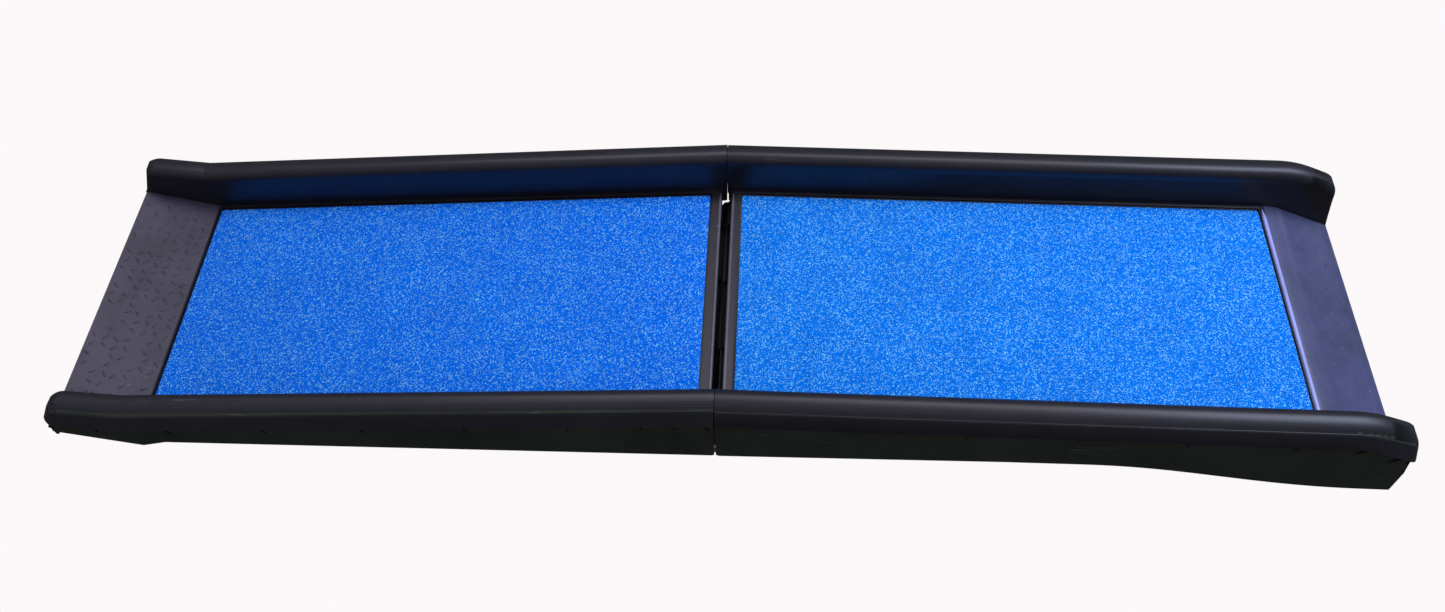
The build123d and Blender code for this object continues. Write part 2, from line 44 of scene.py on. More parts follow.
@dataclass(frozen=True)
class HalfFrame:
    """Where one half of the ramp lies, as its own deck coordinates.

    Attributes:
        side: The half that this frame describes.
        seam_x: Row-frame X of the seam, in metres.
        hinge_z: Row-frame height of the hinge rod, in metres.
        deck_above_hinge: Height of the deck above the rod, in metres.
        tip: How far the half is tipped down outwards, in radians.
        bend: Distance from the seam to the end bend, in metres.
        bend_angle: Bend of the end plate, in radians, downwards positive.
        bend_radius: Radius of the bend on the deck's surface, in metres.
    """

    side: Side
    seam_x: float
    hinge_z: float
    deck_above_hinge: float
    tip: float
    bend: float
    bend_angle: float
    bend_radius: float

    def flat(self, s: float, w: float) -> tuple[float, float, float]:
        """Returns (x, z, slope) in the half's own side view for a point s along the deck and w above it."""
        a, r = self.bend_angle, self.bend_radius
        start = self.bend - r * math.tan(abs(a) / 2)
        if s <= start:
            return s, w, 0.0
        if r and s < start + r * a:
            t = (s - start) / r
            return start + (r + w) * math.sin(t), (r + w) * math.cos(t) - r, t
        along = s - start - r * a
        x0, z0 = start + r * math.sin(a), r * (math.cos(a) - 1)
        return x0 + along * math.cos(a) + w * math.sin(a), z0 - along * math.sin(a) + w * math.cos(a), a

    def point(self, s: float, y: float, w: float) -> Vector:
        """Returns the row-frame point s along the deck, y across and w above it."""
        x, z, _ = self.flat(s, w)
        z += self.deck_above_hinge
        if self.side is Side.UPPER:
            return Vector((self.seam_x + x, y, self.hinge_z + z))
        c, k = math.cos(self.tip), math.sin(self.tip)
        return Vector((self.seam_x - (x * c + z * k), y, self.hinge_z + z * c - x * k))

    def axes(self, s: float) -> Matrix:
        """Returns a rotation whose columns are outwards along the deck, across it and up from it, at s."""
        here = self.point(s, 0, 0)
        up = (self.point(s, 0, 0.01) - here).normalized()
        across = Vector((0, 1, 0))
        along = across.cross(up).normalized()
        return Matrix((along, across, up)).transposed()


UPPER = HalfFrame(Side.UPPER, 0.00025, 0.027, 0.058, 0.0, 0.698, math.radians(23.6), 0.060)
LOWER = HalfFrame(Side.LOWER, 0.00025, 0.027, 0.058, math.radians(5.4), 0.690, math.radians(-22.0), 0.0)


# ---------------------------------------------------------------- shader building


class NodeTree:
    """Short calls for building a node tree."""

    def __init__(self, tree: bpy.types.NodeTree) -> None:
        self.tree = tree

    def add(self, kind: str, inputs: Optional[dict] = None, **settings) -> bpy.types.Node:
        """Adds a node.

        Args:
            kind: The node's type name.
            inputs: Socket name or index to a value, or to an output socket to link from.
            **settings: Properties set on the node.

        Returns:
            The new node.
        """
        node = self.tree.nodes.new(kind)
        for name, value in settings.items():
            setattr(node, name, value)
        for key, value in (inputs or {}).items():
            socket = node.inputs[key]
            if isinstance(value, bpy.types.NodeSocket):
                self.tree.links.new(value, socket)
            else:
                socket.default_value = value
        return node

    def math(self, operation: str, a, b=0.0, clamp: bool = False) -> bpy.types.NodeSocket:
        """Returns the output of a math node."""
        return self.add("ShaderNodeMath", {0: a, 1: b}, operation=operation, use_clamp=clamp).outputs[0]

    def mix(self, factor, a, b) -> bpy.types.NodeSocket:
        """Returns a colour mixed from a to b by factor."""
        node = self.add("ShaderNodeMix", data_type="RGBA")
        for key, value in ((0, factor), (6, a), (7, b)):
            if isinstance(value, bpy.types.NodeSocket):
                self.tree.links.new(value, node.inputs[key])
            else:
                node.inputs[key].default_value = value
        return node.outputs[2]

    def noise(self, where, scale, detail: float, roughness: float = 0.5) -> bpy.types.NodeSocket:
        """Returns the value of a noise texture read at where."""
        inputs = {"Vector": where, "Scale": scale, "Detail": detail, "Roughness": roughness}
        return self.add("ShaderNodeTexNoise", inputs).outputs[0]

    def ramp(self, factor, low: float, high: float) -> bpy.types.NodeSocket:
        """Returns factor remapped so that low gives 0 and high gives 1."""
        node = self.add("ShaderNodeMapRange", {0: factor, 1: low, 2: high, 3: 0.0, 4: 1.0})
        return node.outputs[0]


def rgba(colour: tuple[float, float, float]) -> tuple[float, float, float, float]:
    """Returns an RGB colour with full alpha."""
    return (*colour, 1.0)


def grain_group() -> bpy.types.NodeTree:
    """Returns the shared fine moulded grain: a bump normal and a slow brightness variation."""
    name = "Moulded Grain"
    if name in bpy.data.node_groups:
        return bpy.data.node_groups[name]
    group = bpy.data.node_groups.new(name, "ShaderNodeTree")
    face = group.interface
    face.new_socket("Scale", in_out="INPUT", socket_type="NodeSocketFloat").default_value = 900.0
    face.new_socket("Strength", in_out="INPUT", socket_type="NodeSocketFloat").default_value = 0.15
    face.new_socket("Distance", in_out="INPUT", socket_type="NodeSocketFloat").default_value = 0.0002
    face.new_socket("Normal", in_out="OUTPUT", socket_type="NodeSocketVector")
    face.new_socket("Fine", in_out="OUTPUT", socket_type="NodeSocketFloat")
    face.new_socket("Cloud", in_out="OUTPUT", socket_type="NodeSocketFloat")
    t = NodeTree(group)
    inputs = t.add("NodeGroupInput")
    where = t.add("ShaderNodeTexCoord").outputs["Object"]
    fine = t.noise(where, inputs.outputs[0], 3.0)
    wavy = t.noise(where, 26.0, 2.0)
    cloud = t.noise(where, 9.0, 5.0, 0.62)
    height = t.math("ADD", fine, t.math("MULTIPLY", wavy, 1.6))
    bump = t.add(
        "ShaderNodeBump", {"Strength": inputs.outputs[1], "Distance": inputs.outputs[2], "Height": height}
    ).outputs[0]
    t.add("NodeGroupOutput", {"Normal": bump, "Fine": fine, "Cloud": cloud})
    return group


def wear_group() -> bpy.types.NodeTree:
    """Returns the shared wear: thin scuffs along the ramp, and dust that gathers on patches."""
    name = "Handling Wear"
    if name in bpy.data.node_groups:
        return bpy.data.node_groups[name]
    group = bpy.data.node_groups.new(name, "ShaderNodeTree")
    face = group.interface
    face.new_socket("Amount", in_out="INPUT", socket_type="NodeSocketFloat").default_value = 0.3
    face.new_socket("Scuffs", in_out="OUTPUT", socket_type="NodeSocketFloat")
    face.new_socket("Dust", in_out="OUTPUT", socket_type="NodeSocketFloat")
    t = NodeTree(group)
    amount = t.add("NodeGroupInput").outputs[0]
    where = t.add("ShaderNodeTexCoord").outputs["Object"]
    stretched = t.add("ShaderNodeMapping", {"Vector": where, "Scale": (9.0, 150.0, 150.0)}).outputs[0]
    lines = t.noise(stretched, 1.6, 2.0)
    where_scuffed = t.noise(where, 7.0, 1.0)
    scuffs = t.math("MULTIPLY", t.ramp(lines, 0.66, 0.78), t.ramp(where_scuffed, 0.55, 0.7))
    patches = t.noise(where, 34.0, 6.0, 0.7)
    dust = t.math("MULTIPLY", t.ramp(patches, 0.42, 0.75), amount)
    t.add("NodeGroupOutput", {"Scuffs": t.math("MULTIPLY", scuffs, amount), "Dust": dust})
    return group


@dataclass(frozen=True)
class Plastic:
    """Satin moulded plastic.

    Attributes:
        name: Material name.
        colour: Linear base colour.
        dust: Linear colour of the dust and scuffs.
        roughness: Mean roughness.
        specular: Specular level.
        wear: How much dust and scuffing shows, from 0 to 1.
        grain: Bump strength of the moulded grain.
        cloud: How many times brighter the cloudy patches are.
    """

    name: str
    colour: tuple[float, float, float]
    dust: tuple[float, float, float]
    roughness: float
    specular: float = 0.5
    wear: float = 0.3
    grain: float = 0.2
    cloud: float = 1.35

    def material(self) -> bpy.types.Material:
        """Returns the material, made on first use."""
        if self.name in bpy.data.materials:
            return bpy.data.materials[self.name]
        mat = bpy.data.materials.new(self.name)
        mat.use_nodes = True
        t = NodeTree(mat.node_tree)
        shader = mat.node_tree.nodes["Principled BSDF"]
        grain = t.add("ShaderNodeGroup", node_tree=grain_group())
        grain.inputs["Strength"].default_value = self.grain
        wear = t.add("ShaderNodeGroup", node_tree=wear_group())
        wear.inputs["Amount"].default_value = self.wear
        lighter = rgba(tuple(self.cloud * c for c in self.colour))
        cloudy = t.mix(t.ramp(grain.outputs["Cloud"], 0.35, 0.7), rgba(self.colour), lighter)
        dusty = t.mix(t.math("MULTIPLY", wear.outputs["Dust"], 0.35), cloudy, rgba(self.dust))
        scuffed = t.mix(wear.outputs["Scuffs"], dusty, rgba(tuple(2.6 * c for c in self.dust)))
        rough = t.math("MULTIPLY_ADD", grain.outputs["Fine"], 0.10)
        node = rough.node
        node.inputs[2].default_value = self.roughness - 0.05
        links = mat.node_tree.links
        links.new(scuffed, shader.inputs["Base Color"])
        links.new(rough, shader.inputs["Roughness"])
        links.new(grain.outputs["Normal"], shader.inputs["Normal"])
        shader.inputs["Specular IOR Level"].default_value = self.specular
        return mat


@dataclass(frozen=True)
class Turf:
    """Short speckled turf.

    Attributes:
        name: Material name.
        dark: Linear colour deep between the tufts, a painted shade in the grain's low spots; also the
            colour of the darker drift patches.
        body: Linear main colour.
        light: Linear colour of the brightest grains.
        bump: Bump strength.
    """

    name: str
    dark: tuple[float, float, float]
    body: tuple[float, float, float]
    light: tuple[float, float, float]
    bump: float = 0.6

    def material(self) -> bpy.types.Material:
        """Returns the material, made on first use."""
        if self.name in bpy.data.materials:
            return bpy.data.materials[self.name]
        mat = bpy.data.materials.new(self.name)
        mat.use_nodes = True
        t = NodeTree(mat.node_tree)
        shader = mat.node_tree.nodes["Principled BSDF"]
        where = t.add("ShaderNodeTexCoord").outputs["Object"]
        cells = t.add("ShaderNodeTexVoronoi", {"Vector": where, "Scale": 860.0, "Randomness": 1.0})
        tone = t.add("ShaderNodeSeparateColor", {"Color": cells.outputs["Color"]}).outputs[0]
        fine = t.noise(where, 1500.0, 1.0)
        drift = t.noise(where, 16.0, 4.0)
        # Painted shade: where the fine noise is low, the bump below sinks the surface and the colour goes
        # towards the dark one.
        base = t.mix(t.ramp(fine, 0.38, 0.52), rgba(self.dark), rgba(self.body))
        speckle = t.math("MULTIPLY", t.ramp(tone, 0.80, 0.84), t.ramp(fine, 0.36, 0.46), clamp=True)
        grains = t.mix(speckle, base, rgba(self.light))
        shade = t.mix(t.math("MULTIPLY", t.ramp(drift, 0.3, 0.75), 0.2), grains, rgba(self.dark))
        height = t.math("SUBTRACT", fine, cells.outputs["Distance"])
        bump = t.add("ShaderNodeBump", {"Strength": self.bump, "Distance": 0.6 * MM, "Height": height})
        links = mat.node_tree.links
        links.new(shade, shader.inputs["Base Color"])
        links.new(bump.outputs[0], shader.inputs["Normal"])
        shader.inputs["Roughness"].default_value = 0.85
        shader.inputs["Specular IOR Level"].default_value = 0.05
        shader.inputs["Sheen Weight"].default_value = 0.03
        shader.inputs["Sheen Roughness"].default_value = 0.5
        return mat


@dataclass(frozen=True)
class Steel:
    """Zinc-plated steel with a fine drawn grain.

    Attributes:
        name: Material name.
        colour: Linear base colour.
        roughness: Mean roughness.
    """

    name: str
    colour: tuple[float, float, float]
    roughness: float

    def material(self) -> bpy.types.Material:
        """Returns the material, made on first use."""
        if self.name in bpy.data.materials:
            return bpy.data.materials[self.name]
        mat = bpy.data.materials.new(self.name)
        mat.use_nodes = True
        t = NodeTree(mat.node_tree)
        shader = mat.node_tree.nodes["Principled BSDF"]
        grain = t.add("ShaderNodeGroup", node_tree=grain_group())
        grain.inputs["Strength"].default_value = 0.1
        dull = rgba(tuple(0.72 * c for c in self.colour))
        tint = t.mix(t.ramp(grain.outputs["Cloud"], 0.35, 0.65), rgba(self.colour), dull)
        rough = t.math("MULTIPLY_ADD", grain.outputs["Fine"], 0.25)
        rough.node.inputs[2].default_value = self.roughness - 0.12
        links = mat.node_tree.links
        links.new(tint, shader.inputs["Base Color"])
        links.new(rough, shader.inputs["Roughness"])
        links.new(grain.outputs["Normal"], shader.inputs["Normal"])
        shader.inputs["Metallic"].default_value = 1.0
        return mat


BODY = Plastic(
    name="Black polypropylene",
    colour=(0.0074, 0.0068, 0.0108),
    dust=(0.060, 0.058, 0.064),
    roughness=0.40,
    specular=0.50,
    wear=0.30,
    grain=0.22,
)
APRON = Plastic(
    name="Ribbed apron plastic",
    colour=(0.022, 0.0195, 0.032),
    dust=(0.12, 0.11, 0.15),
    roughness=0.46,
    specular=0.50,
    wear=0.70,
    grain=0.45,
    cloud=2.4,
)
APRON_UPPER = Plastic(
    name="Smooth apron plastic",
    colour=(0.038, 0.044, 0.100),
    dust=(0.14, 0.14, 0.22),
    roughness=0.44,
    specular=0.55,
    wear=0.60,
    grain=0.30,
    cloud=1.7,
)
# Outer wall plastic: lighter and greener than the rails, partly dust and partly a painted green reflection.
WALL_DUST_AND_REFLECTION = Plastic(
    name="Dusty wall plastic",
    colour=(0.022, 0.0295, 0.020),
    dust=(0.060, 0.072, 0.052),
    roughness=0.60,
    specular=0.35,
    wear=0.95,
    grain=0.45,
    cloud=1.9,
)
# Rim bead plastic: its light lavender colour is a painted highlight of the rounded rim at the upper mat's
# end.
RIM_HIGHLIGHT = Plastic(
    name="Polished rim plastic",
    colour=(0.27, 0.31, 0.62),
    dust=(0.5, 0.5, 0.7),
    roughness=0.30,
    specular=0.6,
    wear=0.25,
    grain=0.15,
)
# Seam lip plastic: lighter than the rails as a painted highlight of the lips' rounded edges at the seam.
SEAM_LIP_HIGHLIGHT = Plastic(
    name="Worn seam lip plastic",
    colour=(0.075, 0.068, 0.090),
    dust=(0.2, 0.2, 0.24),
    roughness=0.35,
    specular=0.6,
    wear=0.4,
    grain=0.15,
)
LATCH = Plastic(
    name="Nylon",
    colour=(0.012, 0.012, 0.013),
    dust=(0.06, 0.06, 0.06),
    roughness=0.38,
    specular=0.5,
    wear=0.2,
    grain=0.15,
)
RUBBER = Plastic(
    name="Foot rubber",
    colour=(0.010, 0.010, 0.010),
    dust=(0.06, 0.055, 0.05),
    roughness=0.75,
    specular=0.3,
    wear=0.5,
    grain=0.5,
)
TAPE = Plastic(
    name="Carpet tape",
    colour=(0.55, 0.50, 0.38),
    dust=(0.3, 0.28, 0.2),
    roughness=0.7,
    specular=0.3,
    wear=0.2,
    grain=0.3,
)
TURF_LOWER = Turf(
    name="Blue turf, ground end",
    dark=(0.0005, 0.055, 0.45),
    body=(0.0008, 0.220, 1.0),
    light=(0.22, 0.66, 1.0),
)
TURF_UPPER = Turf(
    name="Blue turf, vehicle end",
    dark=(0.0005, 0.070, 0.42),
    body=(0.0008, 0.255, 0.95),
    light=(0.22, 0.68, 1.0),
)
ZINC = Steel(
    name="Zinc-plated steel",
    colour=(0.60, 0.61, 0.63),
    roughness=0.32,
)


# ---------------------------------------------------------------- mesh helpers


def mesh_object(name: str, mesh: bpy.types.Mesh) -> bpy.types.Object:
    """Returns a new object for mesh, linked to the scene."""
    obj = bpy.data.objects.new(name, mesh)
    bpy.context.scene.collection.objects.link(obj)
    return obj


def mesh_from(name: str, points: Iterable, faces: Iterable) -> bpy.types.Mesh:
    """Returns a mesh from points and faces with outward normals."""
    mesh = bpy.data.meshes.new(name)
    mesh.from_pydata([tuple(p) for p in points], [], [tuple(f) for f in faces])
    bm = bmesh.new()
    bm.from_mesh(mesh)
    bmesh.ops.remove_doubles(bm, verts=bm.verts, dist=1e-6)
    bmesh.ops.recalc_face_normals(bm, faces=bm.faces)
    bm.to_mesh(mesh)
    bm.free()
    return mesh


def baked(obj: bpy.types.Object) -> bpy.types.Object:
    """Turns obj's modifiers into plain mesh."""
    graph = bpy.context.evaluated_depsgraph_get()
    mesh = bpy.data.meshes.new_from_object(
        obj.evaluated_get(graph), preserve_all_data_layers=True, depsgraph=graph
    )
    obj.modifiers.clear()
    obj.data = mesh
    return obj


def smooth(obj: bpy.types.Object, angle: float = 32.0) -> None:
    """Shades obj smooth except across edges sharper than angle, in degrees."""
    obj.data.polygons.foreach_set("use_smooth", [True] * len(obj.data.polygons))
    obj.data.set_sharp_from_angle(angle=math.radians(angle))


# ---------------------------------------------------------------- geometry nodes


def geometry_group(name: str, inputs: dict[str, tuple[str, object]]) -> tuple[bpy.types.NodeTree, NodeTree]:
    """Makes a geometry node group with a geometry input and output.

    Args:
        name: The group's name.
        inputs: Each further input's name, to its socket type and its default value.

    Returns:
        The group, and short calls for filling it.
    """
    group = bpy.data.node_groups.new(name, "GeometryNodeTree")
    group.interface.new_socket("Geometry", in_out="INPUT", socket_type="NodeSocketGeometry")
    for label, (kind, value) in inputs.items():
        socket = group.interface.new_socket(label, in_out="INPUT", socket_type=kind)
        if value is not None:
            socket.default_value = value
    group.interface.new_socket("Geometry", in_out="OUTPUT", socket_type="NodeSocketGeometry")
    return group, NodeTree(group)


def apply_nodes(
    obj: bpy.types.Object, group: bpy.types.NodeTree, values: dict[str, object]
) -> bpy.types.Object:
    """Runs a geometry node group on an object and leaves plain mesh.

    Args:
        obj: The object to run it on.
        group: The geometry node group.
        values: Input names to their values.

    Returns:
        The same object.
    """
    modifier = obj.modifiers.new(group.name, "NODES")
    modifier.node_group = group
    for item in group.interface.items_tree:
        if item.in_out == "INPUT" and item.name in values:
            modifier[item.identifier] = values[item.name]
    return baked(obj)


def tread_nodes() -> bpy.types.NodeTree:
    """Returns the group that stands a raised lozenge on each point, turned by its "turn" attribute."""
    group, t = geometry_group(
        "Tread Lozenges",
        {
            "Length": ("NodeSocketFloat", 0.008),
            "Width": ("NodeSocketFloat", 0.0024),
            "Height": ("NodeSocketFloat", 0.0008),
            "Jitter": ("NodeSocketFloat", 0.12),
            "Seed": ("NodeSocketInt", 3),
            "Material": ("NodeSocketMaterial", None),
        },
    )
    i = t.add("NodeGroupInput").outputs
    ball = t.add("GeometryNodeMeshUVSphere", {"Segments": 10, "Rings": 6, "Radius": 0.5}).outputs[0]
    size = t.add("ShaderNodeCombineXYZ", {0: i["Length"], 1: i["Width"], 2: i["Height"]}).outputs[0]
    lozenge = t.add("GeometryNodeTransform", {"Geometry": ball, "Scale": size}).outputs[0]
    soft = t.add("GeometryNodeSetShadeSmooth", {"Geometry": lozenge}).outputs[0]
    turn = t.add("GeometryNodeInputNamedAttribute", {"Name": "turn"}, data_type="FLOAT_VECTOR").outputs[0]
    low = t.math("SUBTRACT", 1.0, i["Jitter"])
    high = t.math("ADD", 1.0, i["Jitter"])
    vary = t.add("FunctionNodeRandomValue", {2: low, 3: high, "Seed": i["Seed"]}, data_type="FLOAT")
    spread = t.add(
        "GeometryNodeInstanceOnPoints",
        {"Points": i["Geometry"], "Instance": soft, "Rotation": turn, "Scale": vary.outputs[1]},
    ).outputs[0]
    real = t.add("GeometryNodeRealizeInstances", {"Geometry": spread}).outputs[0]
    painted = t.add("GeometryNodeSetMaterial", {"Geometry": real, "Material": i["Material"]}).outputs[0]
    t.add("NodeGroupOutput", {"Geometry": painted})
    return group


def nap_nodes() -> bpy.types.NodeTree:
    """Returns the group that roughens a turf slab and scatters raised grains over its top."""
    group, t = geometry_group(
        "Turf Nap",
        {
            "Height": ("NodeSocketFloat", 0.0009),
            "Scale": ("NodeSocketFloat", 480.0),
            "Density": ("NodeSocketFloat", 26000.0),
            "Grain Size": ("NodeSocketFloat", 0.0008),
            "Seed": ("NodeSocketInt", 11),
            "Material": ("NodeSocketMaterial", None),
        },
    )
    i = t.add("NodeGroupInput").outputs
    where = t.add("GeometryNodeInputPosition").outputs[0]
    normal = t.add("GeometryNodeInputNormal").outputs[0]
    top = t.add("ShaderNodeSeparateXYZ", {0: normal}).outputs[2]
    noise = t.noise(where, i["Scale"], 2.0)
    lift = t.math("MULTIPLY", t.math("MULTIPLY", t.math("SUBTRACT", noise, 0.5), 2.0), i["Height"])
    up = t.math("GREATER_THAN", top, 0.8)
    offset = t.add("ShaderNodeVectorMath", {0: normal, "Scale": lift}, operation="SCALE").outputs[0]
    rough = t.add(
        "GeometryNodeSetPosition", {"Geometry": i["Geometry"], "Selection": up, "Offset": offset}
    ).outputs[0]
    points = t.add(
        "GeometryNodeDistributePointsOnFaces",
        {"Mesh": i["Geometry"], "Selection": up, "Density": i["Density"], "Seed": i["Seed"]},
        distribute_method="RANDOM",
    ).outputs
    grain = t.add("GeometryNodeMeshIcoSphere", {"Radius": 1.0, "Subdivisions": 1}).outputs[0]
    small = t.math("MULTIPLY", i["Grain Size"], 0.55)
    size = t.add(
        "FunctionNodeRandomValue", {2: small, 3: i["Grain Size"], "Seed": i["Seed"]}, data_type="FLOAT"
    ).outputs[1]
    spread = t.add(
        "GeometryNodeInstanceOnPoints",
        {"Points": points["Points"], "Instance": grain, "Rotation": points["Rotation"], "Scale": size},
    ).outputs[0]
    real = t.add("GeometryNodeRealizeInstances", {"Geometry": spread}).outputs[0]
    joined = t.add("GeometryNodeJoinGeometry", {"Geometry": rough})
    group.links.new(real, joined.inputs[0])
    painted = t.add(
        "GeometryNodeSetMaterial", {"Geometry": joined.outputs[0], "Material": i["Material"]}
    ).outputs[0]
    t.add("NodeGroupOutput", {"Geometry": painted})
    return group


# ---------------------------------------------------------------- the ramp's pieces


@dataclass
class ShellSkin:
    """The moulded shell of one half, with softened edges and its own finishes.

    Attributes:
        half: Frame of the half.
        body: The half's plastic.
        apron: Plastic of the end plate past the bend.
        rim: Distance along the deck where the apron's finish starts, in metres.
        end: Distance along the deck to the end of the half, in metres.
        end_lean: How far the rails' end faces lean back, in radians.
        deck_half_width: Half width of the deck between the rails, in metres.
        nose: Radius of the rails' rounded ends, in metres.
        core_y: Middle of a rail's section across the ramp, in metres.
        core_w: Middle of a rail's section above the deck, in metres.
    """

    half: HalfFrame
    body: Plastic
    apron: Plastic
    rim: float
    end: float
    end_lean: float
    deck_half_width: float = 0.1595
    nose: float = 0.011
    core_y: float = 0.178
    core_w: float = 0.040

    def build(self) -> bpy.types.Object:
        """Returns the softened shell, standing for its CAD node."""
        node = f"{self.half.side.value}_shell"
        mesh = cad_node(node).data.copy()
        bm = bmesh.new()
        bm.from_mesh(mesh)
        bmesh.ops.remove_doubles(bm, verts=bm.verts, dist=2e-6)
        bmesh.ops.dissolve_limit(bm, angle_limit=math.radians(0.8), verts=bm.verts, edges=bm.edges)
        self._round_nose(bm)
        bm.to_mesh(mesh)
        bm.free()
        obj = mesh_object(f"{self.half.side.value}_shell_skin", mesh)
        soften = obj.modifiers.new("Soft edges", "BEVEL")
        soften.width = 0.0011
        soften.segments = 2
        soften.limit_method = "ANGLE"
        soften.angle_limit = math.radians(38)
        soften.use_clamp_overlap = True
        obj = baked(obj)
        obj.data.materials.clear()
        obj.data.materials.append(self.body.material())
        obj.data.materials.append(self.apron.material())
        # Outer walls: dust with a painted green reflection.
        obj.data.materials.append(WALL_DUST_AND_REFLECTION.material())
        self._paint(obj)
        smooth(obj, 30)
        return obj

    def _round_nose(self, bm: bmesh.types.BMesh) -> None:
        """Rounds the rails' ends off, by drawing their section in near the end face."""
        lean = self.end_lean
        foot = self.half.point(self.end, 0, 0)
        sign = 1 if self.half.side is Side.UPPER else -1
        tip = 0.0 if self.half.side is Side.UPPER else self.half.tip
        out = Vector((sign * math.cos(lean - tip), 0, math.sin(lean - tip)))
        radius = self.nose
        for k in (0.03, 0.12, 0.27, 0.46, 0.7, 1.0):
            geom = [*bm.verts, *bm.edges, *bm.faces]
            bmesh.ops.bisect_plane(bm, geom=geom, dist=1e-6, plane_co=foot - out * radius * k, plane_no=out)
        for vert in bm.verts:
            depth = (foot - vert.co).dot(out)
            if abs(vert.co.y) < 0.156 or not -0.001 < depth < radius:
                continue
            core_y = math.copysign(self.core_y, vert.co.y)
            local = self.half.point(self.end - depth, core_y, self.core_w)
            gap = Vector((0, vert.co.y - core_y, vert.co.z - local.z))
            if vert.co.z < self.half.point(self.end, 0, 0.004).z or gap.length < 0.006:
                continue
            draw = radius - math.sqrt(max(0.0, radius**2 - (radius - max(depth, 0.0)) ** 2))
            vert.co -= gap.normalized() * min(draw, 0.7 * gap.length)

    def _paint(self, obj: bpy.types.Object) -> None:
        """Gives the end plate's top its own finish, and the outer walls one of dust with a painted green
        reflection.
        """
        limit = self.half.point(self.rim, 0, 0)
        sign = 1 if self.half.side is Side.UPPER else -1
        for face in obj.data.polygons:
            c = face.center
            past = (c.x - limit.x) * sign > 0
            inside = abs(c.y) < self.deck_half_width
            if past and inside and face.normal.z > 0.5 and c.z > 0.004:
                face.material_index = 1
            elif abs(c.y) > 0.1885 and abs(face.normal.y) > 0.6 and abs(c.y) < 0.1905:
                face.material_index = 2


@dataclass
class TurfMat:
    """The turf mat of one half.

    Attributes:
        half: Frame of the half.
        turf: Its finish.
        step: Size of the slab's mesh, in metres.
        seed: Seed of the grains.
    """

    half: HalfFrame
    turf: Turf
    step: float = 0.0029
    seed: int = 11

    def build(self) -> bpy.types.Object:
        """Returns the mat, standing for its CAD node."""
        node = f"{self.half.side.value}_mat"
        box = CAD_MATS[self.half.side]
        start, end, width, low, high = box
        corner, edge = 0.003, 0.0007
        columns = self._steps(start, end)
        rows = self._steps(-width, width)
        points, index = [], {}
        for level, inset in ((low, 0.0), (high - edge, 0.0), (high, edge)):
            for a, s in enumerate(columns):
                for b, y in enumerate(rows):
                    if level < high and 0 < a < len(columns) - 1 and 0 < b < len(rows) - 1:
                        continue
                    s2 = min(max(s, start + inset), end - inset)
                    y2 = min(max(y, -width + inset), width - inset)
                    s2, y2 = self._round(s2, y2, start + inset, end - inset, width - inset, corner)
                    index[(level, a, b)] = len(points)
                    points.append(self.half.point(s2, y2, level))
        faces = []
        last_a, last_b = len(columns) - 1, len(rows) - 1
        for a in range(last_a):
            for b in range(last_b):
                faces.append([index[(high, *k)] for k in ((a, b), (a + 1, b), (a + 1, b + 1), (a, b + 1))])
        ring = [(a, 0) for a in range(last_a)] + [(last_a, b) for b in range(last_b)]
        ring += [(a, last_b) for a in range(last_a, 0, -1)] + [(0, b) for b in range(last_b, 0, -1)]
        for under, over in ((low, high - edge), (high - edge, high)):
            for k, here in enumerate(ring):
                there = ring[(k + 1) % len(ring)]
                corners = ((under, here), (under, there), (over, there), (over, here))
                faces.append([index[(at, *cell)] for at, cell in corners])
        faces.append([index[(low, *k)] for k in ring])
        obj = mesh_object(f"{self.half.side.value}_turf", mesh_from(node, points, faces))
        obj.data.materials.append(self.turf.material())
        smooth(obj, 50)
        values = {"Seed": self.seed, "Material": self.turf.material()}
        return apply_nodes(obj, nap_nodes(), values)

    def _steps(self, low: float, high: float) -> list[float]:
        """Returns evenly spaced values from low to high."""
        count = max(2, round((high - low) / self.step))
        return [low + (high - low) * k / count for k in range(count + 1)]

    @staticmethod
    def _round(
        s: float, y: float, low: float, high: float, width: float, corner: float
    ) -> tuple[float, float]:
        """Pulls a point near a corner of the slab onto the corner's arc.

        Args:
            s: The point's place along the deck.
            y: The point's place across the ramp.
            low: Lower end of the slab along the deck.
            high: Upper end of the slab along the deck.
            width: Half width of the slab.
            corner: Radius of its corners.

        Returns:
            The point's new place along and across.
        """
        cs = min(max(s, low + corner), high - corner)
        cy = min(max(y, corner - width), width - corner)
        gap = Vector((s - cs, y - cy))
        if gap.length > corner:
            gap *= corner / gap.length
        return cs + gap.x, cy + gap.y


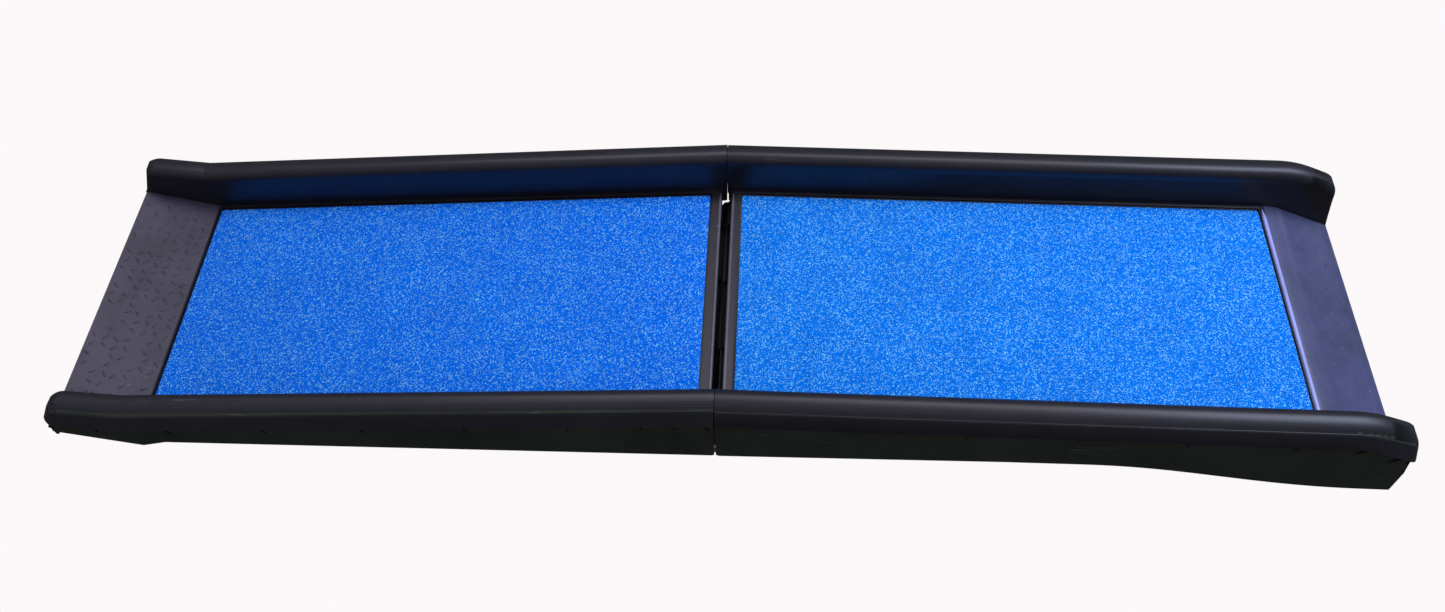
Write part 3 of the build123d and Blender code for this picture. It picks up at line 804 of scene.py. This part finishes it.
@dataclass
class Treads:
    """Raised lozenges on the end plate of one half.

    Attributes:
        half: Frame of the half.
        start: Where the pattern starts along the deck, in metres.
        end: Where it stops, in metres.
        half_width: Half the pattern's width, in metres.
        plastic: Its finish.
        height: How far the lozenges stand up, in metres.
        pitch: Spacing of the lozenges, in metres.
        length: Length of a lozenge, in metres.
        width: Width of a lozenge, in metres.
        drift: How far a lozenge strays from its place, as a share of the pitch.
        swing: How far a lozenge turns from its 45 degrees, in degrees.
        worn_away: Share of the lozenges that are missing.
        seed: Seed of the pattern's unevenness.
    """

    half: HalfFrame
    start: float
    end: float
    half_width: float
    plastic: Plastic
    height: float = 0.0007
    pitch: float = 0.0128
    length: float = 0.0088
    width: float = 0.0027
    drift: float = 0.16
    swing: float = 14.0
    worn_away: float = 0.25
    seed: int = 5

    def build(self) -> bpy.types.Object:
        """Returns the lozenges as one mesh."""
        rng = random.Random(self.seed)
        points, turns = [], []
        rows = int((self.end - self.start) / self.pitch)
        columns = int(2 * self.half_width / self.pitch)
        lead = (self.end - self.start - rows * self.pitch) / 2
        for a in range(rows + 1):
            for b in range(columns + 1):
                shift, slide, twist = (rng.uniform(-1, 1) for _ in range(3))
                if rng.random() < self.worn_away:
                    continue
                s = self.start + lead + (a + self.drift * shift) * self.pitch
                y = (b - columns / 2 + self.drift * slide) * self.pitch
                points.append(self.half.point(s, y, 0.0))
                degrees = (45 if (a + b) % 2 else -45) + self.swing * twist
                tilt = Matrix.Rotation(math.radians(degrees), 3, "Z")
                turns.append((self.half.axes(s) @ tilt).to_euler())
        mesh = bpy.data.meshes.new("treads")
        mesh.from_pydata([tuple(p) for p in points], [], [])
        turn = mesh.attributes.new("turn", "FLOAT_VECTOR", "POINT")
        turn.data.foreach_set("vector", [v for e in turns for v in e])
        obj = mesh_object(f"{self.half.side.value}_treads", mesh)
        values = {
            "Height": 2 * self.height,
            "Length": self.length,
            "Width": self.width,
            "Material": self.plastic.material(),
        }
        return apply_nodes(obj, tread_nodes(), values)


@dataclass
class Bead:
    """A rounded bead moulded across the deck.

    Attributes:
        half: Frame of the half.
        at: Its place along the deck, in metres.
        half_width: Half its length, in metres.
        width: Its width along the deck, in metres.
        height: Its height above the deck, in metres.
        plastic: Its finish.
    """

    half: HalfFrame
    at: float
    half_width: float
    width: float
    height: float
    plastic: Plastic

    def build(self) -> bpy.types.Object:
        """Returns the bead."""
        points, faces = [], []
        spans = 24
        arc = [math.pi * k / 12 for k in range(13)]
        for i in range(spans + 1):
            y = -self.half_width + 2 * self.half_width * i / spans
            taper = min(1.0, (self.half_width - abs(y)) / self.width + 0.15)
            for t in arc:
                s = self.at - self.width / 2 * math.cos(t) * taper
                points.append(self.half.point(s, y, self.height * math.sin(t) * taper - 0.0003))
        n = len(arc)
        for i in range(spans):
            for k in range(n - 1):
                faces.append((i * n + k, i * n + k + 1, (i + 1) * n + k + 1, (i + 1) * n + k))
            faces.append((i * n + n - 1, i * n, (i + 1) * n, (i + 1) * n + n - 1))
        faces.append(range(n))
        faces.append(range(spans * n, spans * n + n))
        name = f"{self.half.side.value}_bead_{round(self.at / MM)}"
        obj = mesh_object(name, mesh_from("bead", points, faces))
        obj.data.materials.append(self.plastic.material())
        smooth(obj, 60)
        return obj


CAD_MATS = {
    Side.LOWER: (0.016, 0.683, 0.151, -0.002, 0.002),
    Side.UPPER: (0.020, 0.676, 0.151, -0.002, 0.002),
}


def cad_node(name: str) -> bpy.types.Object:
    """Returns the CAD object of a node."""
    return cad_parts[name]


@dataclass(frozen=True)
class HalfDress:
    """What the shell and the mat of one half are dressed with.

    Attributes:
        half: Frame of the half.
        turf: Finish of its mat.
        grain_seed: Seed of the mat's grains.
        apron: Finish of its end plate.
        apron_from: Where that finish starts along the deck, in metres.
        end: Where the half ends along the deck, in metres.
        end_lean: How far the rails' end faces lean back, in radians.
    """

    half: HalfFrame
    turf: Turf
    grain_seed: int
    apron: Plastic
    apron_from: float
    end: float
    end_lean: float


PLASTIC_SLOT = "black_polypropylene"
DRESSES = (
    HalfDress(LOWER, TURF_LOWER, 11, APRON, 0.691, 0.783, math.radians(26)),
    HalfDress(UPPER, TURF_UPPER, 29, APRON_UPPER, 0.684, 0.787, math.radians(11)),
)
TREADS = (
    Treads(LOWER, 0.698, 0.776, 0.147, APRON),
    Treads(UPPER, 0.718, 0.780, 0.147, APRON_UPPER, height=0.0003),
)
BEADS = (
    # Rim bead, coloured light lavender as a painted highlight.
    Bead(UPPER, at=0.6828, half_width=0.155, width=0.0050, height=0.0022, plastic=RIM_HIGHLIGHT),
    # Seam lip beads, coloured lighter as painted highlights.
    Bead(UPPER, at=0.0086, half_width=0.157, width=0.0036, height=0.0012, plastic=SEAM_LIP_HIGHLIGHT),
    Bead(LOWER, at=0.0026, half_width=0.157, width=0.0036, height=0.0012, plastic=SEAM_LIP_HIGHLIGHT),
)


@dataclass
class Ramp:
    """The whole ramp: CAD nodes with finishes, and the pieces that stand for or sit on them."""

    finishes: dict[str, object] = field(
        default_factory=lambda: {
            "tape": TAPE,
            "foot_pad": RUBBER,
            "screws": ZINC,
            "rod": ZINC,
            "latch_hook": LATCH,
            "latch": ZINC,
        }
    )

    def build(self) -> None:
        """Makes every piece and binds it to its body."""
        self._paint_cad()
        for dress in DRESSES:
            half, name = dress.half, dress.half.side.value
            skin = ShellSkin(half, BODY, dress.apron, dress.apron_from, dress.end, dress.end_lean)
            self._place(skin.build(), half, f"{name}_shell", PLASTIC_SLOT)
            turf = TurfMat(half, dress.turf, seed=dress.grain_seed)
            self._place(turf.build(), half, f"{name}_mat", "blue_turf")
        for treads in TREADS:
            self._place(treads.build(), treads.half, None, PLASTIC_SLOT)
        for bead in BEADS:
            self._place(bead.build(), bead.half, None, PLASTIC_SLOT)

    @staticmethod
    def _place(obj: bpy.types.Object, half: HalfFrame, node: Optional[str], slot: str) -> None:
        """Attaches a piece to its half's body, hiding the CAD node it stands for."""
        if node:
            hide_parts(node)
        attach(obj, f"{half.side.value}_half")
        LOG.info("%s rides on %s_half", obj.name, half.side.value)

    def _paint_cad(self) -> None:
        """Gives the CAD nodes that stay their procedural finishes."""
        for name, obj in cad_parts.items():
            for key, finish in self.finishes.items():
                if key in name:
                    for slot in obj.material_slots:
                        slot.material = finish.material()
                    break


# ---------------------------------------------------------------- studio


@dataclass(frozen=True)
class SoftBox:
    """A rectangular studio light.

    Attributes:
        name: Its name.
        place: Its centre, in metres.
        target: What it points at.
        size: Width and height, in metres.
        power: Watts.
        colour: Linear colour.
    """

    name: str
    place: tuple[float, float, float]
    target: tuple[float, float, float]
    size: tuple[float, float]
    power: float
    colour: tuple[float, float, float] = (1.0, 1.0, 1.0)

    def build(self) -> None:
        """Adds the light to the scene."""
        light = bpy.data.lights.new(self.name, "AREA")
        light.shape = "RECTANGLE"
        light.size, light.size_y = self.size
        light.energy = self.power
        light.color = self.colour
        obj = bpy.data.objects.new(self.name, light)
        obj.location = self.place
        obj.rotation_euler = (Vector(self.target) - Vector(self.place)).to_track_quat("-Z", "Y").to_euler()
        bpy.context.scene.collection.objects.link(obj)


@dataclass(frozen=True)
class Studio:
    """Camera, world and lights."""

    boxes: tuple[SoftBox, ...] = (
        SoftBox("Overhead", (0.1, 0.7, 2.3), (0.0, 0.0, 0.0), (2.6, 0.8), 22.0, (0.97, 0.92, 1.0)),
        SoftBox("Right", (1.6, 0.2, 1.7), (0.6, 0.0, 0.05), (0.9, 1.2), 28.0, (0.64, 0.74, 1.0)),
    )
    backdrop: tuple[float, float, float] = (0.973, 0.940, 0.948)
    ceiling: tuple[float, float, float] = (0.52, 0.50, 0.62)
    horizon: tuple[float, float, float] = (0.14, 0.145, 0.16)
    ground: tuple[float, float, float] = (0.055, 0.058, 0.055)

    def build(self) -> None:
        """Adds everything to the scene."""
        for box in self.boxes:
            box.build()
        self._world()
        self._camera()
        scene = bpy.context.scene
        scene.view_settings.view_transform = "Standard"
        scene.view_settings.look = "None"

    def _world(self) -> None:
        """White to the camera; to everything else a bright ceiling over a dim horizon."""
        world = bpy.data.worlds.new("Studio")
        world.use_nodes = True
        t = NodeTree(world.node_tree)
        background = world.node_tree.nodes["Background"]
        way = t.add("ShaderNodeTexCoord").outputs["Generated"]
        height = t.add("ShaderNodeSeparateXYZ", {0: way}).outputs[2]
        low = t.mix(t.ramp(height, -0.5, 0.05), rgba(self.ground), rgba(self.horizon))
        ceiling = t.mix(t.ramp(height, 0.25, 0.95), low, rgba(self.ceiling))
        seen = t.add("ShaderNodeLightPath").outputs["Is Camera Ray"]
        world.node_tree.links.new(t.mix(seen, ceiling, rgba(self.backdrop)), background.inputs["Color"])
        background.inputs["Strength"].default_value = 1.0
        bpy.context.scene.world = world

    @staticmethod
    def _camera() -> None:
        camera = bpy.data.cameras.new("Camera")
        camera.sensor_width = 36.0
        camera.lens = 27.4
        obj = bpy.data.objects.new("Camera", camera)
        right = Vector((0.999049, 0.043011, -0.007176))
        up = Vector((-0.032269, 0.839928, 0.541737))
        back = Vector((0.029328, -0.540990, 0.840517))
        turn = Matrix((right, up, back)).transposed().to_4x4()
        obj.matrix_world = Matrix.Translation((0.0410, -0.7370, 1.2018)) @ turn
        bpy.context.scene.collection.objects.link(obj)
        bpy.context.scene.camera = obj


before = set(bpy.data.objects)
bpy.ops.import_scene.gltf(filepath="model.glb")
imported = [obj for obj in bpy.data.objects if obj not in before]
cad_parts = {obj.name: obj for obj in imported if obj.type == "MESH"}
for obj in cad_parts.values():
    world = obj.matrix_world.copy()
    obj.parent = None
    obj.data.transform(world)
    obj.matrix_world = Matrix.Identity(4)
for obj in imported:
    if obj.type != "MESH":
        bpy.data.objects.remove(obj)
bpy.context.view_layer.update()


def main() -> None:
    """Builds the ramp and the studio."""
    logging.basicConfig(level=logging.INFO)
    Ramp().build()
    Studio().build()
    LOG.info("scene ready")


if __name__ == "__main__":
    main()
